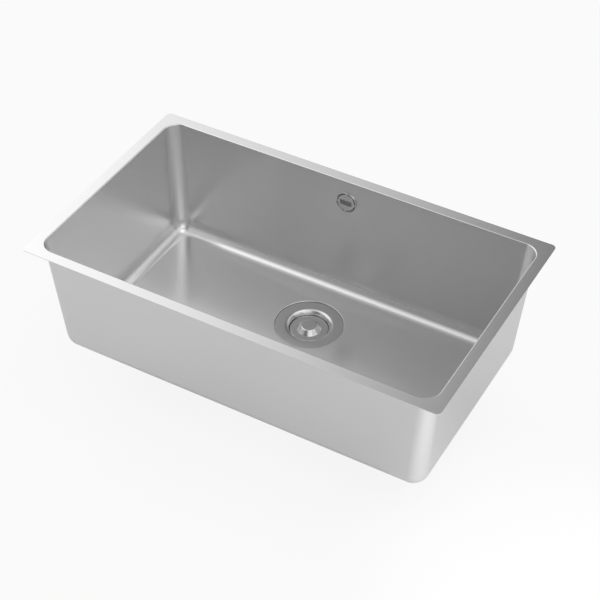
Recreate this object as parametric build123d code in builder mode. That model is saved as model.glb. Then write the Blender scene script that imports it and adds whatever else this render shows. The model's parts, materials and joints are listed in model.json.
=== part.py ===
from build123d import *
from math import cos, radians, sin, tan
import os

# Undermount kitchen sink: one drafted steel bowl with a flat rim, a basket waste and an overflow.
# Millimetres, Z up, X along the sink, the front towards -Y. The origin is the middle of the rim's top face.

# Rim and bowl
rim_length = 750.0
rim_depth = 440.0
rim_corner = 8.0
flange_width = 20.0
sheet = 1.2
bowl_height = 223.0
wall_draft = 4.0
mouth_corner = 26.0
foot_corner = 26.0
floor_round = 25.0
bend_round = 2.4

# Floor and waste seat
waste_y = 69.0
floor_fall = 1.2
fall_margin = 4.0
seat_radius = 60.5
seat_margin = 1.5
waste_hole_radius = 45.0
step_round = 1.0
flange_sink = 1.5

# Strainer cup
cup_sheet = 1.0
cup_flange_radius = 59.8
cup_radius = 34.5
cup_ledge = 2.5
ledge_drop = 14.0
cup_height = 56.0
lip_round = 8.5
cup_foot_round = 2.5
outlet_slot_inner = 9.0
outlet_slot_outer = 20.0
outlet_bridge = 5.0
outlet_slots = 4
flange_gasket_height = 1.0
flange_gasket_width = 9.0
gasket_inset = 1.0

# Basket
basket_sheet = 0.8
basket_gap = 0.7
basket_round = 3.0
basket_hole_radius = 2.4
basket_ring_radius = 13.5
basket_ring_pitch = 6.0
basket_ring_counts = (10, 14, 18)
basket_slot_width = 4.0
basket_slot_height = 12.0
basket_slots = 18

# Plug: lid, knob, stem and stopper
plug_travel = 7.5
stop_gap = 1.5
lid_drop = 8.0
lid_sheet = 1.0
lid_gap = 0.8
lid_skirt = 3.5
lid_round = 1.2
knob_radius = 21.5
knob_height = 7.4
knob_taper = 8.0
knob_round = 3.0
stem_radius = 3.0
stem_fit = 0.05
stem_grip = 4.5
collar_radius = 5.0
collar_height = 1.4
hole_play = 0.2
guide_radius = 5.0
guide_flange_radius = 8.0
guide_flange_height = 1.7
guide_neck_height = 7.0
guide_foot = 0.4
guide_wall = 1.3
ring_wire = 0.95
ring_groove_play = 0.15
stopper_height = 8.0
stopper_radius = 25.5
stopper_lip_width = 3.2
stopper_lip_height = 3.6
stopper_plate_height = 2.0
stopper_plate_bite = 3.0
stopper_cap = 1.0
stem_nut_size = 10.0
stem_nut_height = 2.4

# Clamp of the waste
screw_radius = 3.0
screw_length = 17.0
screw_head_radius = 6.0
screw_head_height = 1.6
screw_socket = 4.0
insert_radius = 4.5
insert_length = 15.0
body_gasket_height = 2.5
body_flange_radius = 54.0
body_flange_height = 3.4
body_wall = 3.5
body_clearance = 8.0
body_floor_gap = 5.0
thread_radius = 23.9
thread_length = 25.0
outlet_radius = 20.0
shoulder_width = 1.5
body_round = 5.0
clamp_gap = 0.8
post_radius = 6.8
post_tail = 5.0
spider_fit = 0.1
spider_ring_width = 2.4
spider_ring_height = 4.0
spider_arm_width = 3.0
spider_arm_height = 9.0
spider_arms = 3

# Overflow on the back wall
overflow_drop = 41.5
rosette_radius = 20.0
rosette_height = 2.6
rosette_round = 1.2
rosette_slot_inner = 15.4
rosette_slot_width = 2.6
rosette_bridge = 4.0
rosette_slots = 4
overflow_hole_radius = 18.4
hub_radius = 7.5
plate_length = 22.0
plate_width = 9.0
plate_height = 0.8
plate_corner = 1.0
overflow_gasket_height = 2.5
head_flange_radius = 24.0
head_flange_height = 3.0
head_wall = 2.5
head_height = 26.0
small_screw_radius = 2.5
small_screw_length = 16.0
small_head_radius = 4.0
small_head_height = 1.2
small_screw_socket = 3.0
small_insert_radius = 3.8
small_insert_length = 9.0

# Overflow pipe and its two joints
pipe_radius = 8.0
pipe_wall = 1.3
pipe_bend = 24.0
pipe_insertion = 12.0
pipe_play = 0.1
socket_wall = 3.0
socket_reach = 18.0
washer_height = 3.0
nut_wall = 2.4
nut_end = 2.4
nut_grip = 11.0
nut_flutes = 12
flute_radius = 1.2
inlet_drop = 42.0

# Deadening pads
pad_length = 190.0
pad_width = 260.0
pad_height = 3.0
pad_corner = 10.0
pad_margin = 30.0

# Derived sizes of the bowl
slope = tan(radians(wall_draft))
mouth_length = rim_length - 2 * flange_width
mouth_depth = rim_depth - 2 * flange_width
floor_low = -bowl_height - floor_fall
flange_stack = flange_gasket_height + cup_sheet
seat_depth = flange_sink + flange_stack
waste_top = floor_low - flange_sink


def bowl_length(z, skin=0.0):
    """Length of the bowl at a height, skin outside its inner face."""
    return mouth_length + 2 * z * slope + 2 * skin


def bowl_depth(z, skin=0.0):
    """Depth of the bowl, front to back, at a height."""
    return mouth_depth + 2 * z * slope + 2 * skin


# The waste is turned round an upright axis, so its profiles lie in a plane through that axis. Its heights
# are measured from the top of the cup's flange, which lies sunk a little below the floor.
waste_axis = Axis((0, waste_y, 0), (0, 0, 1))
waste_section = Plane(origin=(0, waste_y, waste_top), x_dir=(1, 0, 0), z_dir=(0, -1, 0))


def waste_level(drop):
    """Level plane on the waste's axis, a drop below the top of the cup's flange."""
    return Plane(origin=(0, waste_y, waste_top - drop), x_dir=(1, 0, 0), z_dir=(0, 0, 1))


# The overflow stands square on the leaning back wall, with its axis pointing into the bowl.
lean = radians(wall_draft)
overflow_y = mouth_depth / 2 - overflow_drop * slope
overflow_normal = (0, -cos(lean), sin(lean))


def overflow_level(height):
    """Plane on the overflow's axis, a height above the inner face of the back wall."""
    origin = (0, overflow_y - height * cos(lean), -overflow_drop + height * sin(lean))
    return Plane(origin=origin, x_dir=(1, 0, 0), z_dir=overflow_normal)


# The pipe runs down the middle of the overflow head's depth, and enters the waste body level, from the back.
pipe_y = overflow_y + sheet + overflow_gasket_height + head_height / 2


def inlet_level(reach):
    """Upright plane across the waste body's inlet, a reach behind the waste's axis."""
    return Plane(origin=(0, waste_y + reach, waste_top - inlet_drop), x_dir=(1, 0, 0), z_dir=(0, 1, 0))


def hollow(skin, floor_z, low_z):
    """Solid of the bowl's hollow, or of its outside when skin is the sheet."""
    with BuildPart() as form:
        with BuildSketch(Plane.XY):
            RectangleRounded(bowl_length(0, skin), bowl_depth(0, skin), mouth_corner + skin)
        with BuildSketch(Plane.XY.offset(floor_z)):
            RectangleRounded(bowl_length(floor_z, skin), bowl_depth(floor_z, skin), foot_corner + skin)
        loft(ruled=True)
        fillet(form.faces().sort_by(Axis.Z)[0].edges(), floor_round + skin)
        flat = 2 * (floor_round + fall_margin)
        with BuildSketch(Plane.XY.offset(floor_z)):
            Rectangle(bowl_length(-bowl_height) - flat, bowl_depth(-bowl_height) - flat)
        with BuildSketch(Plane((0, waste_y, low_z))):
            Rectangle(2 * (seat_radius + seat_margin), 2 * (seat_radius + seat_margin))
        loft(ruled=True)
        with BuildSketch(Plane((0, waste_y, low_z))):
            Circle(seat_radius + skin)
        extrude(amount=-seat_depth)
    return form.part


def ring_edges(builder, radius, z):
    """Level round edges of a part with this radius, at this height."""
    rounds = builder.edges().filter_by(GeomType.CIRCLE)
    return rounds.filter_by(lambda e: abs(e.radius - radius) < 0.01 and abs(e.arc_center.Z - z) < 0.01)


def mouth_edges(builder, z, skin):
    """Edges of the bowl's mouth at a height, apart from the rim's own outline."""
    half_length = bowl_length(z, skin) / 2 + bend_round
    half_depth = bowl_depth(z, skin) / 2 + bend_round
    level = builder.edges().filter_by(lambda e: abs(e.center().Z - z) < 0.01)
    return level.filter_by(lambda e: abs(e.center().X) < half_length and abs(e.center().Y) < half_depth)


def save(builder, name):
    """Label a finished piece and write it to its own file."""
    builder.part.label = name
    export_step(builder.part, "parts/" + name + ".step")


os.makedirs("parts", exist_ok=True)
bowl_hollow = hollow(0.0, -bowl_height, floor_low)
bowl_outside = hollow(sheet, -bowl_height - sheet, floor_low - sheet)

# Bowl: flange and outside joined, then emptied, with the sheet's bend rounded at the mouth.
with BuildPart() as bowl:
    with BuildSketch(Plane.XY):
        RectangleRounded(rim_length, rim_depth, rim_corner)
    extrude(amount=-sheet)
    add(bowl_outside)
    add(bowl_hollow, mode=Mode.SUBTRACT)
    fillet(mouth_edges(bowl, 0.0, 0.0), bend_round)
    fillet(mouth_edges(bowl, -sheet, sheet), bend_round - sheet)
    fillet(ring_edges(bowl, seat_radius, floor_low), step_round)
    with BuildSketch(waste_level(0)):
        Circle(waste_hole_radius)
    extrude(amount=-2 * (seat_depth + sheet), mode=Mode.SUBTRACT)
    with BuildSketch(overflow_level(rosette_height)):
        Circle(overflow_hole_radius)
    extrude(amount=-2 * (rosette_height + sheet), mode=Mode.SUBTRACT)
save(bowl, "bowl")

# Deadening pads, glued to the underside of the floor and following its fall.
for side, name in ((-1, "sound_pad_left"), (1, "sound_pad_right")):
    pad_x = side * (bowl_length(-bowl_height) / 2 - pad_margin - pad_length / 2)
    with BuildPart() as sound_pad:
        with BuildSketch(Plane((pad_x, 0, -bowl_height - sheet))):
            RectangleRounded(pad_length, pad_width, pad_corner)
        extrude(amount=-floor_fall - pad_height)
        add(bowl_outside, mode=Mode.SUBTRACT)
    save(sound_pad, name)

# Strainer cup: flange, rolled lip, a ledge for the basket and a slotted floor.
ledge_radius = cup_radius - cup_ledge
cup_under = cup_height + cup_sheet
with BuildPart() as strainer_cup:
    with BuildSketch(waste_section):
        with BuildLine():
            Polyline(
                (0, -cup_height),
                (ledge_radius, -cup_height),
                (ledge_radius, -ledge_drop),
                (cup_radius, -ledge_drop),
                (cup_radius, 0),
                (cup_flange_radius, 0),
                (cup_flange_radius, -cup_sheet),
                (cup_radius + cup_sheet, -cup_sheet),
                (cup_radius + cup_sheet, -ledge_drop - cup_sheet),
                (ledge_radius + cup_sheet, -ledge_drop - cup_sheet),
                (ledge_radius + cup_sheet, -cup_under),
                (0, -cup_under),
                close=True,
            )
        make_face()
    revolve(axis=waste_axis)
    fillet(ring_edges(strainer_cup, cup_radius, waste_top), lip_round)
    fillet(ring_edges(strainer_cup, cup_radius + cup_sheet, waste_top - cup_sheet), lip_round - cup_sheet)
    fillet(ring_edges(strainer_cup, ledge_radius, waste_top - cup_height), cup_foot_round - cup_sheet)
    fillet(ring_edges(strainer_cup, ledge_radius + cup_sheet, waste_top - cup_under), cup_foot_round)
    with BuildSketch(waste_level(cup_height)):
        Circle(outlet_slot_outer)
        Circle(outlet_slot_inner, mode=Mode.SUBTRACT)
        with PolarLocations(0, outlet_slots):
            Rectangle(outlet_slot_outer, outlet_bridge, align=(Align.MIN, Align.CENTER), mode=Mode.SUBTRACT)
        Circle(screw_radius + hole_play)
    extrude(amount=-cup_sheet, mode=Mode.SUBTRACT)
save(strainer_cup, "strainer_cup")

# Thin seal under the cup's flange.
with BuildPart() as flange_gasket:
    with BuildSketch(waste_level(flange_stack)):
        Circle(cup_flange_radius - gasket_inset)
        Circle(cup_flange_radius - gasket_inset - flange_gasket_width, mode=Mode.SUBTRACT)
    extrude(amount=flange_gasket_height)
save(flange_gasket, "flange_gasket")

# Basket: a perforated cup that hangs from the ledge by its rim, high enough for the stopper to lift under it.
basket_radius = ledge_radius - basket_gap
stopper_top = cup_height - stopper_height
basket_under = stopper_top - plug_travel - stop_gap
basket_floor = basket_under - basket_sheet
slot_top = (ledge_drop + basket_under - basket_slot_height) / 2
with BuildPart() as basket:
    with BuildSketch(waste_section):
        with BuildLine():
            Polyline(
                (0, -basket_under),
                (basket_radius, -basket_under),
                (basket_radius, -ledge_drop),
                (cup_radius - basket_gap, -ledge_drop),
                (cup_radius - basket_gap, -ledge_drop + basket_sheet),
                (basket_radius - basket_sheet, -ledge_drop + basket_sheet),
                (basket_radius - basket_sheet, -basket_floor),
                (0, -basket_floor),
                close=True,
            )
        make_face()
    revolve(axis=waste_axis)
    fillet(ring_edges(basket, basket_radius, waste_top - basket_under), basket_round)
    inner_foot = ring_edges(basket, basket_radius - basket_sheet, waste_top - basket_floor)
    fillet(inner_foot, basket_round - basket_sheet)
    with BuildSketch(waste_level(basket_floor)):
        Circle(guide_radius)
        for ring, ring_count in enumerate(basket_ring_counts):
            with PolarLocations(basket_ring_radius + ring * basket_ring_pitch, ring_count):
                Circle(basket_hole_radius)
    extrude(amount=-basket_sheet, mode=Mode.SUBTRACT)
    with BuildSketch(waste_level(slot_top)):
        with PolarLocations(0, basket_slots):
            Rectangle(basket_radius + basket_sheet, basket_slot_width, align=(Align.MIN, Align.CENTER))
        Circle(basket_radius - 2 * basket_sheet, mode=Mode.SUBTRACT)
    extrude(amount=-basket_slot_height, mode=Mode.SUBTRACT)
save(basket, "basket")

# Stem guide: a flanged bush in the basket's floor, with a groove for the friction ring.
guide_bore = stem_radius + stem_fit
ring_centre = guide_bore + ring_wire
groove_radius = ring_centre + ring_wire + ring_groove_play
groove_half = ring_wire + ring_groove_play
guide_neck_radius = groove_radius + guide_wall
neck_foot = basket_floor - guide_flange_height
neck_top = neck_foot - guide_neck_height
ring_drop = neck_foot - guide_neck_height / 2
with BuildPart() as stem_guide:
    with BuildSketch(waste_section):
        with BuildLine():
            Polyline(
                (guide_bore, -basket_under - guide_foot),
                (guide_radius, -basket_under - guide_foot),
                (guide_radius, -basket_floor),
                (guide_flange_radius, -basket_floor),
                (guide_flange_radius, -neck_foot),
                (guide_neck_radius, -neck_foot),
                (guide_neck_radius, -neck_top),
                (guide_bore, -neck_top),
                (guide_bore, -ring_drop + groove_half),
                (groove_radius, -ring_drop + groove_half),
                (groove_radius, -ring_drop - groove_half),
                (guide_bore, -ring_drop - groove_half),
                close=True,
            )
        make_face()
    revolve(axis=waste_axis)
save(stem_guide, "stem_guide")

# Friction ring that holds the stem at any height.
with BuildPart() as guide_ring:
    with BuildSketch(waste_section):
        with Locations((ring_centre, -ring_drop)):
            Circle(ring_wire)
    revolve(axis=waste_axis)
save(guide_ring, "guide_ring")

# Plug lid: a shallow pressed lid with a turned-down edge.
lid_radius = cup_radius - lid_gap
lid_under = lid_drop + lid_sheet
with BuildPart() as plug_lid:
    with BuildSketch(waste_section):
        with BuildLine():
            Polyline(
                (stem_radius + hole_play, -lid_drop),
                (lid_radius, -lid_drop),
                (lid_radius, -lid_drop - lid_skirt),
                (lid_radius - lid_sheet, -lid_drop - lid_skirt),
                (lid_radius - lid_sheet, -lid_under),
                (stem_radius + hole_play, -lid_under),
                close=True,
            )
        make_face()
    revolve(axis=waste_axis)
    fillet(ring_edges(plug_lid, lid_radius, waste_top - lid_drop), lid_round)
    fillet(ring_edges(plug_lid, lid_radius - lid_sheet, waste_top - lid_under), lid_round - lid_sheet)
save(plug_lid, "plug_lid")

# Knob: a low boss with a conical side and a flat top, blind bored for the stem.
knob_top = lid_drop - knob_height
with BuildPart() as knob:
    with BuildSketch(waste_section):
        with BuildLine():
            Polyline(
                (stem_radius, -lid_drop),
                (knob_radius, -lid_drop),
                (knob_radius - knob_taper, -knob_top),
                (0, -knob_top),
                (0, -lid_drop + stem_grip),
                (stem_radius, -lid_drop + stem_grip),
                close=True,
            )
        make_face()
    revolve(axis=waste_axis)
    fillet(ring_edges(knob, knob_radius - knob_taper, waste_top - knob_top), knob_round)
save(knob, "knob")

# Stem: a rod with one collar under the lid and one on the stopper.
plate_top = stopper_top + stopper_cap
plate_under = plate_top + stopper_plate_height
stem_end = plate_under + stem_nut_height
with BuildPart() as stem:
    with BuildSketch(waste_section):
        with BuildLine():
            Polyline(
                (0, -lid_drop + stem_grip),
                (stem_radius, -lid_drop + stem_grip),
                (stem_radius, -lid_under),
                (collar_radius, -lid_under),
                (collar_radius, -lid_under - collar_height),
                (stem_radius, -lid_under - collar_height),
                (stem_radius, -plate_top + collar_height),
                (collar_radius, -plate_top + collar_height),
                (collar_radius, -plate_top),
                (stem_radius, -plate_top),
                (stem_radius, -stem_end),
                (0, -stem_end),
                close=True,
            )
        make_face()
    revolve(axis=waste_axis)
save(stem, "stem")

# Stopper plate, gripped by the groove of the rubber.
plate_radius = stopper_radius - stopper_lip_width
with BuildPart() as stopper_plate:
    with BuildSketch(waste_level(plate_under)):
        Circle(plate_radius)
        Circle(stem_radius + hole_play, mode=Mode.SUBTRACT)
    extrude(amount=stopper_plate_height)
save(stopper_plate, "stopper_plate")

# Stopper rubber: it grips the plate and its lip shuts the cup's floor outside the slots.
grip_radius = plate_radius - stopper_plate_bite
with BuildPart() as stopper_seal:
    with BuildSketch(waste_section):
        with BuildLine():
            Polyline(
                (grip_radius, -stopper_top),
                (stopper_radius, -stopper_top),
                (stopper_radius, -cup_height),
                (plate_radius, -cup_height),
                (plate_radius, -cup_height + stopper_lip_height),
                (grip_radius, -cup_height + stopper_lip_height),
                (grip_radius, -plate_under),
                (plate_radius, -plate_under),
                (plate_radius, -plate_top),
                (grip_radius, -plate_top),
                close=True,
            )
        make_face()
    revolve(axis=waste_axis)
save(stopper_seal, "stopper_seal")

# Nut under the stopper plate.
with BuildPart() as stem_nut:
    with BuildSketch(waste_level(plate_under)):
        RegularPolygon(stem_nut_size / 2, 6, major_radius=False)
        Circle(stem_radius, mode=Mode.SUBTRACT)
    extrude(amount=-stem_nut_height)
save(stem_nut, "stem_nut")

# Rubber ring between the bowl's underside and the waste body.
with BuildPart() as body_gasket:
    with BuildSketch(waste_level(flange_stack + sheet)):
        Circle(body_flange_radius)
        Circle(waste_hole_radius + gasket_inset, mode=Mode.SUBTRACT)
    extrude(amount=-body_gasket_height)
save(body_gasket, "body_gasket")

# Waste body: a moulded pot round the cup, with the outlet thread and the overflow inlet.
body_top = flange_stack + sheet + body_gasket_height
body_inner = ledge_radius + cup_sheet + body_clearance
body_outer = body_inner + body_wall
body_floor = cup_under + body_floor_gap
body_under = body_floor + body_wall
thread_end = body_under + thread_length
shoulder_radius = outlet_radius - shoulder_width
socket_bore = pipe_radius + pipe_play
socket_outer = socket_bore + socket_wall
inlet_end = body_outer + socket_reach
with BuildPart() as waste_body:
    with BuildSketch(waste_section):
        with BuildLine():
            Polyline(
                (body_inner, -body_top),
                (body_flange_radius, -body_top),
                (body_flange_radius, -body_top - body_flange_height),
                (body_outer, -body_top - body_flange_height),
                (body_outer, -body_under),
                (thread_radius, -body_under),
                (thread_radius, -thread_end),
                (outlet_radius, -thread_end),
                (outlet_radius, -body_under),
                (shoulder_radius, -body_under),
                (shoulder_radius, -body_floor),
                (body_inner, -body_floor),
                close=True,
            )
        make_face()
    revolve(axis=waste_axis)
    fillet(ring_edges(waste_body, body_outer, waste_top - body_under), body_round)
    fillet(ring_edges(waste_body, body_inner, waste_top - body_floor), body_round - body_wall / 2)
    with BuildSketch(inlet_level(body_inner + body_wall / 2)):
        Circle(socket_outer)
    extrude(amount=inlet_end - body_inner - body_wall / 2)
    with BuildSketch(inlet_level(body_inner - body_wall)):
        Circle(pipe_radius - pipe_wall)
    extrude(amount=inlet_end - body_inner, mode=Mode.SUBTRACT)
    with BuildSketch(inlet_level(inlet_end - pipe_insertion)):
        Circle(socket_bore)
    extrude(amount=pipe_insertion, mode=Mode.SUBTRACT)
save(waste_body, "waste_body")

# Outlet spider: pushed up the outlet until its ring meets the shoulder, with a post for the brass insert.
post_top = cup_under + clamp_gap
post_end = post_top + insert_length + post_tail
spider_radius = outlet_radius - spider_fit
with BuildPart() as outlet_spider:
    with BuildSketch(waste_level(body_under)):
        Circle(spider_radius)
        Circle(spider_radius - spider_ring_width, mode=Mode.SUBTRACT)
    extrude(amount=-spider_ring_height)
    with BuildSketch(waste_level(body_under)):
        with PolarLocations(0, spider_arms):
            Rectangle(
                spider_radius - spider_ring_width / 2,
                spider_arm_width,
                align=(Align.MIN, Align.CENTER),
            )
    extrude(amount=-spider_arm_height)
    with BuildSketch(waste_level(post_top)):
        Circle(post_radius)
    extrude(amount=post_top - post_end)
    with BuildSketch(waste_level(post_top)):
        Circle(insert_radius)
    extrude(amount=-insert_length, mode=Mode.SUBTRACT)
    with BuildSketch(waste_level(post_top + insert_length)):
        Circle(screw_radius + hole_play)
    extrude(amount=-post_tail / 2, mode=Mode.SUBTRACT)
save(outlet_spider, "outlet_spider")

# Brass insert in the spider's post, and the long screw that draws the body up to the cup.
with BuildPart() as body_insert:
    with BuildSketch(waste_level(post_top)):
        Circle(insert_radius)
        Circle(screw_radius, mode=Mode.SUBTRACT)
    extrude(amount=-insert_length)
save(body_insert, "body_insert")

with BuildPart() as centre_screw:
    with BuildSketch(waste_level(cup_height)):
        Circle(screw_head_radius)
    extrude(amount=screw_head_height)
    with BuildSketch(waste_level(cup_height)):
        Circle(screw_radius)
    extrude(amount=-screw_length)
    with BuildSketch(waste_level(cup_height - screw_head_height)):
        RegularPolygon(screw_socket / 2, 6, major_radius=False)
    extrude(amount=-screw_head_height, mode=Mode.SUBTRACT)
save(centre_screw, "centre_screw")

# Overflow rosette: a round cover with a broken ring of slots and a sunk field for a blank plate.
head_top = sheet + overflow_gasket_height
with BuildPart() as overflow_rosette:
    with BuildSketch(overflow_level(0)):
        Circle(rosette_radius)
    extrude(amount=rosette_height)
    fillet(overflow_rosette.faces().sort_by(Axis.Y)[0].edges(), rosette_round)
    with BuildSketch(overflow_level(0)):
        Circle(rosette_slot_inner + rosette_slot_width)
        Circle(rosette_slot_inner, mode=Mode.SUBTRACT)
        with PolarLocations(0, rosette_slots):
            Rectangle(rosette_radius, rosette_bridge, align=(Align.MIN, Align.CENTER), mode=Mode.SUBTRACT)
    extrude(amount=rosette_height, mode=Mode.SUBTRACT)
    with BuildSketch(overflow_level(-head_top)):
        Circle(hub_radius)
    extrude(amount=head_top)
    with BuildSketch(overflow_level(rosette_height - plate_height)):
        RectangleRounded(plate_length, plate_width, plate_corner)
    extrude(amount=plate_height, mode=Mode.SUBTRACT)
    with BuildSketch(overflow_level(rosette_height - plate_height)):
        Circle(small_head_radius + hole_play)
    extrude(amount=-small_head_height, mode=Mode.SUBTRACT)
    with BuildSketch(overflow_level(-head_top)):
        Circle(small_screw_radius + hole_play)
    extrude(amount=head_top + rosette_height, mode=Mode.SUBTRACT)
save(overflow_rosette, "overflow_rosette")

with BuildPart() as overflow_plate:
    with BuildSketch(overflow_level(rosette_height - plate_height)):
        RectangleRounded(plate_length, plate_width, plate_corner)
    extrude(amount=plate_height)
save(overflow_plate, "overflow_plate")

# Screw of the rosette, hidden under the plate.
with BuildPart() as overflow_screw:
    with BuildSketch(overflow_level(rosette_height - plate_height)):
        Circle(small_head_radius)
    extrude(amount=-small_head_height)
    with BuildSketch(overflow_level(rosette_height - plate_height)):
        Circle(small_screw_radius)
    extrude(amount=-small_screw_length)
    with BuildSketch(overflow_level(rosette_height - plate_height)):
        RegularPolygon(small_screw_socket / 2, 6, major_radius=False)
    extrude(amount=-small_head_height, mode=Mode.SUBTRACT)
save(overflow_screw, "overflow_screw")

with BuildPart() as overflow_gasket:
    with BuildSketch(overflow_level(-sheet)):
        Circle(head_flange_radius)
        Circle(overflow_hole_radius + gasket_inset, mode=Mode.SUBTRACT)
    extrude(amount=-overflow_gasket_height)
save(overflow_gasket, "overflow_gasket")

# Overflow head: a moulded cup behind the wall, with a post for the screw and a socket pointing down.
head_radius = overflow_hole_radius + gasket_inset + head_wall
socket_end = -overflow_drop - head_radius - socket_reach
with BuildPart() as overflow_head:
    with BuildSketch(overflow_level(-head_top)):
        Circle(head_flange_radius)
    extrude(amount=-head_flange_height)
    with BuildSketch(overflow_level(-head_top)):
        Circle(head_radius)
    extrude(amount=-head_height)
    with BuildSketch(Plane((0, pipe_y, socket_end))):
        Circle(socket_outer)
    extrude(amount=head_radius + socket_reach)
    with BuildSketch(overflow_level(-head_top)):
        Circle(head_radius - head_wall)
    extrude(amount=-head_height + head_wall, mode=Mode.SUBTRACT)
    with BuildSketch(Plane((0, pipe_y, socket_end))):
        Circle(pipe_radius - pipe_wall)
    extrude(amount=socket_reach + head_radius - hub_radius, mode=Mode.SUBTRACT)
    with BuildSketch(Plane((0, pipe_y, socket_end))):
        Circle(socket_bore)
    extrude(amount=pipe_insertion, mode=Mode.SUBTRACT)
    with BuildSketch(overflow_level(-head_top)):
        Circle(hub_radius)
    extrude(amount=-head_height + head_wall / 2)
    with BuildSketch(overflow_level(-head_top)):
        Circle(small_insert_radius)
    extrude(amount=-small_insert_length, mode=Mode.SUBTRACT)
    with BuildSketch(overflow_level(-head_top)):
        Circle(small_screw_radius + hole_play)
    extrude(amount=-small_screw_length, mode=Mode.SUBTRACT)
save(overflow_head, "overflow_head")

with BuildPart() as overflow_insert:
    with BuildSketch(overflow_level(-head_top)):
        Circle(small_insert_radius)
        Circle(small_screw_radius, mode=Mode.SUBTRACT)
    extrude(amount=-small_insert_length)
save(overflow_insert, "overflow_insert")

# Overflow pipe: down behind the back wall, one bend, then forward to the waste body's inlet.
inlet_z = waste_top - inlet_drop
pipe_low = (0, waste_y + inlet_end - pipe_insertion, inlet_z)
pipe_top = (0, pipe_y, socket_end + pipe_insertion)
with BuildPart() as overflow_pipe:
    with BuildLine() as pipe_line:
        FilletPolyline(pipe_low, (0, pipe_y, inlet_z), pipe_top, radius=pipe_bend)
    with BuildSketch(Plane(pipe_low, x_dir=(1, 0, 0), z_dir=(0, 1, 0))):
        Circle(pipe_radius)
        Circle(pipe_radius - pipe_wall, mode=Mode.SUBTRACT)
    sweep(path=pipe_line.line)
save(overflow_pipe, "overflow_pipe")

# The pipe's joints: a rubber washer on the socket's end, drawn up by a fluted nut.
upper_joint = Plane((0, pipe_y, socket_end), x_dir=(1, 0, 0), z_dir=(0, 0, -1))
lower_joint = inlet_level(inlet_end)
nut_bore = socket_outer + pipe_play
nut_outer = nut_bore + nut_wall
for joint, place in ((upper_joint, "upper"), (lower_joint, "lower")):
    with BuildPart() as pipe_washer:
        with BuildSketch(joint):
            Circle(socket_outer)
            Circle(socket_bore, mode=Mode.SUBTRACT)
        extrude(amount=washer_height)
    save(pipe_washer, "pipe_washer_" + place)

    with BuildPart() as pipe_nut:
        with BuildSketch(joint.offset(-nut_grip)):
            Circle(nut_outer)
            with PolarLocations(nut_outer + flute_radius / 2, nut_flutes):
                Circle(flute_radius, mode=Mode.SUBTRACT)
        extrude(amount=nut_grip + washer_height + nut_end)
        with BuildSketch(joint.offset(-nut_grip)):
            Circle(nut_bore)
        extrude(amount=nut_grip + washer_height, mode=Mode.SUBTRACT)
        with BuildSketch(joint):
            Circle(socket_bore)
        extrude(amount=washer_height + nut_end, mode=Mode.SUBTRACT)
    save(pipe_nut, "pipe_nut_" + place)
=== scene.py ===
# %% [markdown]
# # Undermount kitchen sink
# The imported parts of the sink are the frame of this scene. They have the right sizes and move on the
# right joints, but their surfaces are made of loose triangles, and polished steel shows every flat.
# So each piece that can be seen is modelled again here, at the same sizes. The small ones inside keep
# their mesh and get a finish.

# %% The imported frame
import json
import math
import bmesh
import bpy
from mathutils import Matrix, Vector


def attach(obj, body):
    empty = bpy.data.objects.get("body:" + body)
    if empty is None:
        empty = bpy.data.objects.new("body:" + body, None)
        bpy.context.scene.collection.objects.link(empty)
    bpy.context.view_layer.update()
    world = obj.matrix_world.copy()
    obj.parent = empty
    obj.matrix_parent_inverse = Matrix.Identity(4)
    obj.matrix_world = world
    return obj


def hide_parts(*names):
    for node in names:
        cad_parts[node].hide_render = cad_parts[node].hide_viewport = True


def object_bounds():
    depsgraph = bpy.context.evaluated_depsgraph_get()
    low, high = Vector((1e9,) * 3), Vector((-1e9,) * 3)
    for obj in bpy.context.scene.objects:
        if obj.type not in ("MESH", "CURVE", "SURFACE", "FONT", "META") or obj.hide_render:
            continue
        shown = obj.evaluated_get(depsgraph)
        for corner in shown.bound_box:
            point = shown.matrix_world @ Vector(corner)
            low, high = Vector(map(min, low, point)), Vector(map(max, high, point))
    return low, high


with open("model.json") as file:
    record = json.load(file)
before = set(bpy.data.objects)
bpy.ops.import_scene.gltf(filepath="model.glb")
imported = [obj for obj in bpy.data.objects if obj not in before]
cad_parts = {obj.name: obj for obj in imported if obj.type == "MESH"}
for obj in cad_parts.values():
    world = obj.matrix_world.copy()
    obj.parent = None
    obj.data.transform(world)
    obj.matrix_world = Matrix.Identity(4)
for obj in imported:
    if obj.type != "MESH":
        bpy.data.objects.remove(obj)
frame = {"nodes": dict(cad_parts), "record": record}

cad_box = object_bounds()
print("packed box", [round(v, 4) for corner in cad_box for v in corner])

# %% [markdown]
# ## Working by hand, in code
# Every operator works on what is selected, and the frame arrives selected. These helpers do what the
# hand does between two operators: clear the selection, take one piece, go in and out of edit mode.

# %% Hands
mm = 0.001


def deselect():
    """Leave nothing selected, so that an operator can only reach the new piece."""
    bpy.ops.object.select_all(action="DESELECT")


def take(piece):
    """Select one piece alone and make it the active one."""
    deselect()
    piece.select_set(True)
    bpy.context.view_layer.objects.active = piece


def edit():
    """Go into edit mode, picking points."""
    bpy.ops.object.mode_set(mode="EDIT")
    bpy.ops.mesh.select_mode(type="VERT")


def select_mesh():
    """Select the whole mesh."""
    bpy.ops.mesh.select_all(action="SELECT")


def leave():
    """Go back to object mode and give the piece."""
    bpy.ops.object.mode_set(mode="OBJECT")
    return bpy.context.object


print("a millimetre is", mm, "m")

# %% [markdown]
# ## Bowl
# A real bowl is drawn from one steel sheet: the rim stays flat, the walls lean in a little and every
# corner keeps a radius. A box with bevels would give the shape, but its corners would come out
# uneven. Here each level of the bowl is drawn as one rounded outline, all with the same number of
# points, and the outlines are bridged from the rim's edge down to the waste hole. That gives clean
# rows of faces that follow the sheet.

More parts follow.
